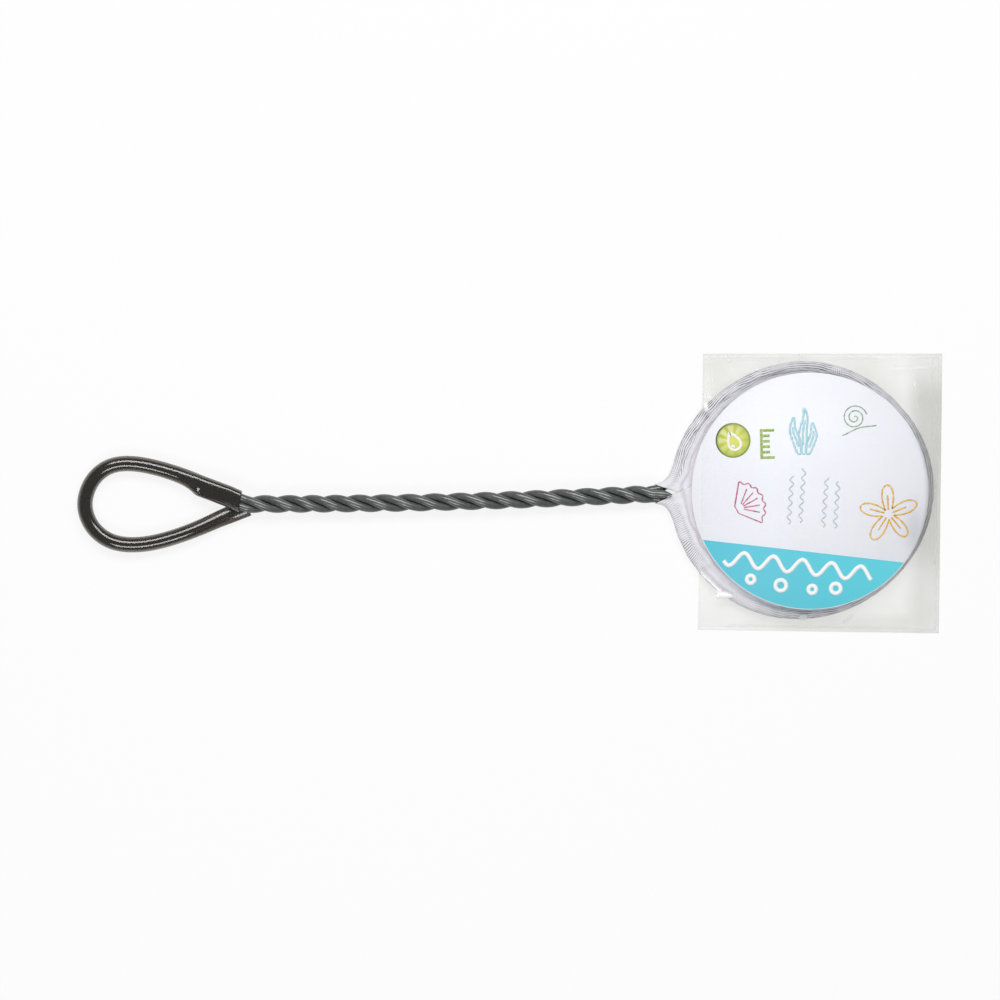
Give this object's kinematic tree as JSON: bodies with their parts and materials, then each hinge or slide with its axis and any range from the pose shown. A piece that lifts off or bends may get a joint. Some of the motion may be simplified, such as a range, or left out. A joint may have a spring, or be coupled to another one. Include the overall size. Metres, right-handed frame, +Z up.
{
  "type": "aquarium fish net",
  "caption": "Aquarium hand net: round wire hoop with a fine mesh bag, twisted wire handle and tubed grip loop, the hoop lying in a clear film pouch under a round insert card.",
  "frame": {"origin": "middle of the whole net's outline, on the surface that it lies on", "axes": "+X along the handle from the grip loop to the hoop, +Z up out of the face of the card, +Y across the hoop"},
  "size_m": [0.3378, 0.111, 0.0081],
  "materials": {
    "steel_core": "bright drawn wire",
    "wire_coating": "satin grey PVC",
    "grip_tube": "glossy smoke-brown PVC tube",
    "header_band": "fine white knit",
    "net_bag": "soft fine mesh",
    "insert_card": "coated white card",
    "pouch_film": "clear polypropylene film"
  },
  "bodies": {
    "net": {"steel_core": "steel_core", "hoop_coating": "wire_coating", "upper_strand_coating": "wire_coating", "lower_strand_coating": "wire_coating", "tail_strand_coating": "wire_coating", "loop_coating": "wire_coating", "grip_tube": "grip_tube", "header_band": "header_band", "net_bag": "net_bag"},
    "pouch": {"pouch_front_film": "pouch_film", "pouch_back_film": "pouch_film"},
    "card": {"insert_card": "insert_card"}
  },
  "joints": [
    {"name": "pouch_slide", "type": "slide", "parent": "net", "child": "pouch", "axis": [0.9995, -0.0332, 0], "range_m": [0, 0.096]},
    {"name": "card_slide", "type": "slide", "parent": "pouch", "child": "card", "axis": [-0.9995, 0.0332, 0], "range_m": [0, 0.092]}
  ]
}
